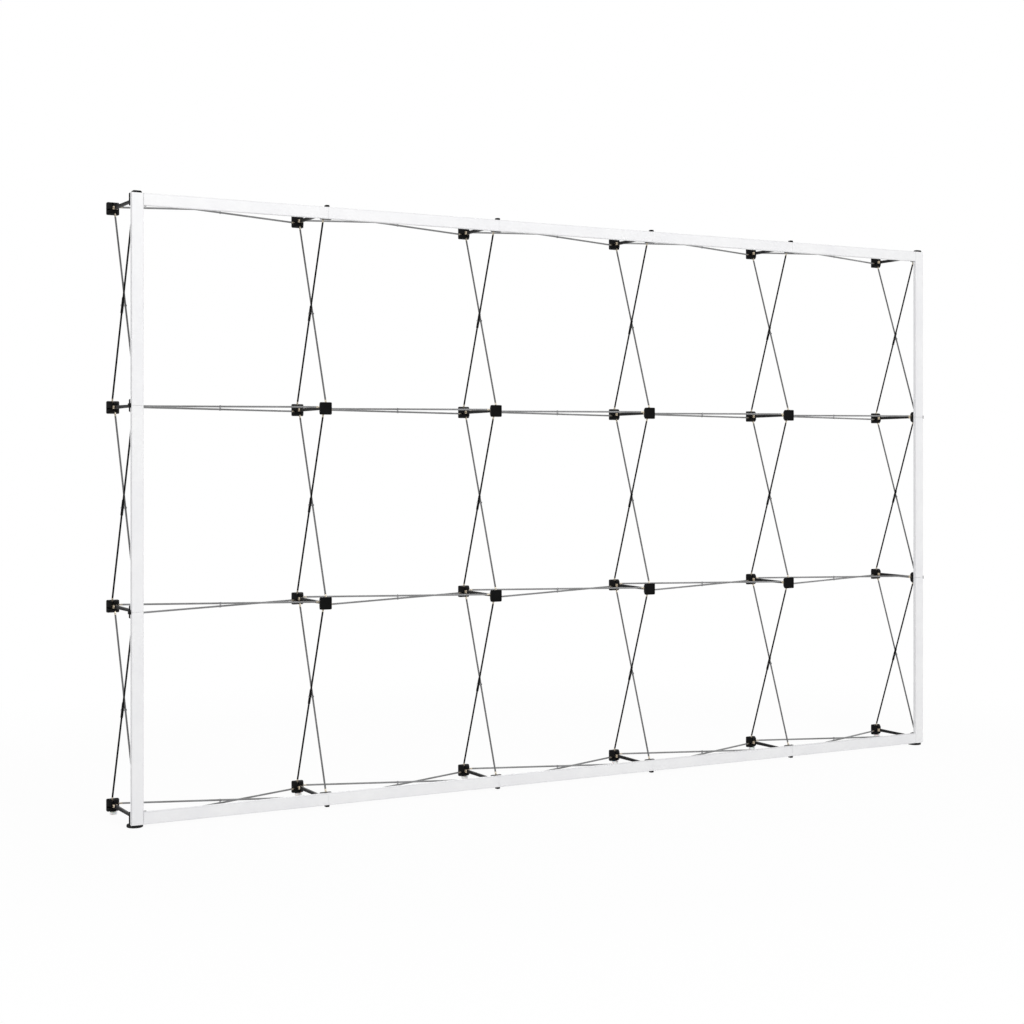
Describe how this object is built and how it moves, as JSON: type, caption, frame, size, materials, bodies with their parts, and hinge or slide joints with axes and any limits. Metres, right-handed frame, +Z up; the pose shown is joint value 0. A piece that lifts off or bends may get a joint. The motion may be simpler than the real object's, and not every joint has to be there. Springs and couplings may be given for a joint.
{
  "type": "pop-up display wall frame",
  "caption": "Straight pop-up wall frame: crossed scissor rods between front and back hubs, hinged lock arms, and white edge bars that hold a stretched fabric.",
  "frame": {"origin": "middle of the overall box on the floor plane", "axes": "+X along the wall to the right seen from the front, +Y from the front to the back, +Z up"},
  "size_m": [3.8116, 0.31, 2.3153],
  "materials": {
    "hub_black": "fine moulded",
    "arm_black": "fine moulded",
    "clip_black": "fine moulded",
    "sleeve_black": "smooth",
    "rod_grey": "anodised grey",
    "rod_end_brass": "pale, turned",
    "bracket_brass": "pale, cast",
    "glide_white": "plain nylon",
    "lock_pin_brass": "turned",
    "pin_steel": "plain",
    "bar_white": "satin white",
    "foot_rubber": "matte"
  },
  "bodies": {
    "frame": {"front_hubs": "hub_black", "back_hubs": "hub_black", "hub_pins": "pin_steel", "rising_rods_front_foot": "rod_grey", "rising_rods_back_foot": "rod_grey", "level_rods_front_start": "rod_grey", "level_rods_back_start": "rod_grey", "rod_ends_front": "rod_end_brass", "rod_ends_back": "rod_end_brass", "crossing_sleeves": "sleeve_black", "crossing_rivets": "pin_steel", "arm_brackets": "bracket_brass", "arm_hinge_pins": "lock_pin_brass", "arm_catch_pins": "lock_pin_brass", "bar_clips": "clip_black", "corner_clips": "clip_black", "front_feet": "foot_rubber", "back_glides": "glide_white"},
    "top_bar_1": {"top_bar_1": "bar_white"},
    "top_bar_2": {"top_bar_2": "bar_white"},
    "top_bar_3": {"top_bar_3": "bar_white"},
    "top_bar_4": {"top_bar_4": "bar_white"},
    "top_bar_5": {"top_bar_5": "bar_white"},
    "bottom_bar_1": {"bottom_bar_1": "bar_white"},
    "bottom_bar_2": {"bottom_bar_2": "bar_white"},
    "bottom_bar_3": {"bottom_bar_3": "bar_white"},
    "bottom_bar_4": {"bottom_bar_4": "bar_white"},
    "bottom_bar_5": {"bottom_bar_5": "bar_white"},
    "left_bar_1": {"left_bar_1": "bar_white"},
    "left_bar_2": {"left_bar_2": "bar_white"},
    "left_bar_3": {"left_bar_3": "bar_white"},
    "right_bar_1": {"right_bar_1": "bar_white"},
    "right_bar_2": {"right_bar_2": "bar_white"},
    "right_bar_3": {"right_bar_3": "bar_white"},
    "lock_arm_column_1_row_1": {"lock_arm_column_1_row_1": "arm_black"},
    "lock_arm_column_1_row_2": {"lock_arm_column_1_row_2": "arm_black"},
    "lock_arm_column_1_row_3": {"lock_arm_column_1_row_3": "arm_black"},
    "lock_arm_column_1_row_4": {"lock_arm_column_1_row_4": "arm_black"},
    "lock_arm_column_2_row_1": {"lock_arm_column_2_row_1": "arm_black"},
    "lock_arm_column_2_row_2": {"lock_arm_column_2_row_2": "arm_black"},
    "lock_arm_column_2_row_3": {"lock_arm_column_2_row_3": "arm_black"},
    "lock_arm_column_2_row_4": {"lock_arm_column_2_row_4": "arm_black"},
    "lock_arm_column_3_row_1": {"lock_arm_column_3_row_1": "arm_black"},
    "lock_arm_column_3_row_2": {"lock_arm_column_3_row_2": "arm_black"},
    "lock_arm_column_3_row_3": {"lock_arm_column_3_row_3": "arm_black"},
    "lock_arm_column_3_row_4": {"lock_arm_column_3_row_4": "arm_black"},
    "lock_arm_column_4_row_1": {"lock_arm_column_4_row_1": "arm_black"},
    "lock_arm_column_4_row_2": {"lock_arm_column_4_row_2": "arm_black"},
    "lock_arm_column_4_row_3": {"lock_arm_column_4_row_3": "arm_black"},
    "lock_arm_column_4_row_4": {"lock_arm_column_4_row_4": "arm_black"},
    "lock_arm_column_5_row_1": {"lock_arm_column_5_row_1": "arm_black"},
    "lock_arm_column_5_row_2": {"lock_arm_column_5_row_2": "arm_black"},
    "lock_arm_column_5_row_3": {"lock_arm_column_5_row_3": "arm_black"},
    "lock_arm_column_5_row_4": {"lock_arm_column_5_row_4": "arm_black"},
    "lock_arm_column_6_row_1": {"lock_arm_column_6_row_1": "arm_black"},
    "lock_arm_column_6_row_2": {"lock_arm_column_6_row_2": "arm_black"},
    "lock_arm_column_6_row_3": {"lock_arm_column_6_row_3": "arm_black"},
    "lock_arm_column_6_row_4": {"lock_arm_column_6_row_4": "arm_black"}
  },
  "joints": [
    {"name": "top_bar_1_pull", "type": "slide", "parent": "frame", "child": "top_bar_1", "axis": [0, -1, 0], "range_m": [0, 0.12]},
    {"name": "top_bar_2_pull", "type": "slide", "parent": "frame", "child": "top_bar_2", "axis": [0, -1, 0], "range_m": [0, 0.12]},
    {"name": "top_bar_3_pull", "type": "slide", "parent": "frame", "child": "top_bar_3", "axis": [0, -1, 0], "range_m": [0, 0.12]},
    {"name": "top_bar_4_pull", "type": "slide", "parent": "frame", "child": "top_bar_4", "axis": [0, -1, 0], "range_m": [0, 0.12]},
    {"name": "top_bar_5_pull", "type": "slide", "parent": "frame", "child": "top_bar_5", "axis": [0, -1, 0], "range_m": [0, 0.12]},
    {"name": "bottom_bar_1_pull", "type": "slide", "parent": "frame", "child": "bottom_bar_1", "axis": [0, -1, 0], "range_m": [0, 0.12]},
    {"name": "bottom_bar_2_pull", "type": "slide", "parent": "frame", "child": "bottom_bar_2", "axis": [0, -1, 0], "range_m": [0, 0.12]},
    {"name": "bottom_bar_3_pull", "type": "slide", "parent": "frame", "child": "bottom_bar_3", "axis": [0, -1, 0], "range_m": [0, 0.12]},
    {"name": "bottom_bar_4_pull", "type": "slide", "parent": "frame", "child": "bottom_bar_4", "axis": [0, -1, 0], "range_m": [0, 0.12]},
    {"name": "bottom_bar_5_pull", "type": "slide", "parent": "frame", "child": "bottom_bar_5", "axis": [0, -1, 0], "range_m": [0, 0.12]},
    {"name": "left_bar_1_pull", "type": "slide", "parent": "frame", "child": "left_bar_1", "axis": [0, -1, 0], "range_m": [0, 0.12]},
    {"name": "left_bar_2_pull", "type": "slide", "parent": "frame", "child": "left_bar_2", "axis": [0, -1, 0], "range_m": [0, 0.12]},
    {"name": "left_bar_3_pull", "type": "slide", "parent": "frame", "child": "left_bar_3", "axis": [0, -1, 0], "range_m": [0, 0.12]},
    {"name": "right_bar_1_pull", "type": "slide", "parent": "frame", "child": "right_bar_1", "axis": [0, -1, 0], "range_m": [0, 0.12]},
    {"name": "right_bar_2_pull", "type": "slide", "parent": "frame", "child": "right_bar_2", "axis": [0, -1, 0], "range_m": [0, 0.12]},
    {"name": "right_bar_3_pull", "type": "slide", "parent": "frame", "child": "right_bar_3", "axis": [0, -1, 0], "range_m": [0, 0.12]},
    {"name": "lock_arm_column_1_row_1_swing", "type": "hinge", "parent": "frame", "child": "lock_arm_column_1_row_1", "pos_m": [-1.875, 0.1179, 0.0345], "axis": [-1, 0, 0], "range_deg": [0, 60]},
    {"name": "lock_arm_column_1_row_2_swing", "type": "hinge", "parent": "frame", "child": "lock_arm_column_1_row_2", "pos_m": [-1.875, 0.1179, 0.7845], "axis": [-1, 0, 0], "range_deg": [0, 60]},
    {"name": "lock_arm_column_1_row_3_swing", "type": "hinge", "parent": "frame", "child": "lock_arm_column_1_row_3", "pos_m": [-1.875, 0.1179, 1.5345], "axis": [-1, 0, 0], "range_deg": [0, 60]},
    {"name": "lock_arm_column_1_row_4_swing", "type": "hinge", "parent": "frame", "child": "lock_arm_column_1_row_4", "pos_m": [-1.875, 0.1179, 2.2845], "axis": [-1, 0, 0], "range_deg": [0, 60]},
    {"name": "lock_arm_column_2_row_1_swing", "type": "hinge", "parent": "frame", "child": "lock_arm_column_2_row_1", "pos_m": [-1.125, 0.1179, 0.0345], "axis": [-1, 0, 0], "range_deg": [0, 60]},
    {"name": "lock_arm_column_2_row_2_swing", "type": "hinge", "parent": "frame", "child": "lock_arm_column_2_row_2", "pos_m": [-1.125, 0.1179, 0.7845], "axis": [-1, 0, 0], "range_deg": [0, 60]},
    {"name": "lock_arm_column_2_row_3_swing", "type": "hinge", "parent": "frame", "child": "lock_arm_column_2_row_3", "pos_m": [-1.125, 0.1179, 1.5345], "axis": [-1, 0, 0], "range_deg": [0, 60]},
    {"name": "lock_arm_column_2_row_4_swing", "type": "hinge", "parent": "frame", "child": "lock_arm_column_2_row_4", "pos_m": [-1.125, 0.1179, 2.2845], "axis": [-1, 0, 0], "range_deg": [0, 60]},
    {"name": "lock_arm_column_3_row_1_swing", "type": "hinge", "parent": "frame", "child": "lock_arm_column_3_row_1", "pos_m": [-0.375, 0.1179, 0.0345], "axis": [-1, 0, 0], "range_deg": [0, 60]},
    {"name": "lock_arm_column_3_row_2_swing", "type": "hinge", "parent": "frame", "child": "lock_arm_column_3_row_2", "pos_m": [-0.375, 0.1179, 0.7845], "axis": [-1, 0, 0], "range_deg": [0, 60]},
    {"name": "lock_arm_column_3_row_3_swing", "type": "hinge", "parent": "frame", "child": "lock_arm_column_3_row_3", "pos_m": [-0.375, 0.1179, 1.5345], "axis": [-1, 0, 0], "range_deg": [0, 60]},
    {"name": "lock_arm_column_3_row_4_swing", "type": "hinge", "parent": "frame", "child": "lock_arm_column_3_row_4", "pos_m": [-0.375, 0.1179, 2.2845], "axis": [-1, 0, 0], "range_deg": [0, 60]},
    {"name": "lock_arm_column_4_row_1_swing", "type": "hinge", "parent": "frame", "child": "lock_arm_column_4_row_1", "pos_m": [0.375, 0.1179, 0.0345], "axis": [-1, 0, 0], "range_deg": [0, 60]},
    {"name": "lock_arm_column_4_row_2_swing", "type": "hinge", "parent": "frame", "child": "lock_arm_column_4_row_2", "pos_m": [0.375, 0.1179, 0.7845], "axis": [-1, 0, 0], "range_deg": [0, 60]},
    {"name": "lock_arm_column_4_row_3_swing", "type": "hinge", "parent": "frame", "child": "lock_arm_column_4_row_3", "pos_m": [0.375, 0.1179, 1.5345], "axis": [-1, 0, 0], "range_deg": [0, 60]},
    {"name": "lock_arm_column_4_row_4_swing", "type": "hinge", "parent": "frame", "child": "lock_arm_column_4_row_4", "pos_m": [0.375, 0.1179, 2.2845], "axis": [-1, 0, 0], "range_deg": [0, 60]},
    {"name": "lock_arm_column_5_row_1_swing", "type": "hinge", "parent": "frame", "child": "lock_arm_column_5_row_1", "pos_m": [1.125, 0.1179, 0.0345], "axis": [-1, 0, 0], "range_deg": [0, 60]},
    {"name": "lock_arm_column_5_row_2_swing", "type": "hinge", "parent": "frame", "child": "lock_arm_column_5_row_2", "pos_m": [1.125, 0.1179, 0.7845], "axis": [-1, 0, 0], "range_deg": [0, 60]},
    {"name": "lock_arm_column_5_row_3_swing", "type": "hinge", "parent": "frame", "child": "lock_arm_column_5_row_3", "pos_m": [1.125, 0.1179, 1.5345], "axis": [-1, 0, 0], "range_deg": [0, 60]},
    {"name": "lock_arm_column_5_row_4_swing", "type": "hinge", "parent": "frame", "child": "lock_arm_column_5_row_4", "pos_m": [1.125, 0.1179, 2.2845], "axis": [-1, 0, 0], "range_deg": [0, 60]},
    {"name": "lock_arm_column_6_row_1_swing", "type": "hinge", "parent": "frame", "child": "lock_arm_column_6_row_1", "pos_m": [1.875, 0.1179, 0.0345], "axis": [-1, 0, 0], "range_deg": [0, 60]},
    {"name": "lock_arm_column_6_row_2_swing", "type": "hinge", "parent": "frame", "child": "lock_arm_column_6_row_2", "pos_m": [1.875, 0.1179, 0.7845], "axis": [-1, 0, 0], "range_deg": [0, 60]},
    {"name": "lock_arm_column_6_row_3_swing", "type": "hinge", "parent": "frame", "child": "lock_arm_column_6_row_3", "pos_m": [1.875, 0.1179, 1.5345], "axis": [-1, 0, 0], "range_deg": [0, 60]},
    {"name": "lock_arm_column_6_row_4_swing", "type": "hinge", "parent": "frame", "child": "lock_arm_column_6_row_4", "pos_m": [1.875, 0.1179, 2.2845], "axis": [-1, 0, 0], "range_deg": [0, 60]}
  ]
}
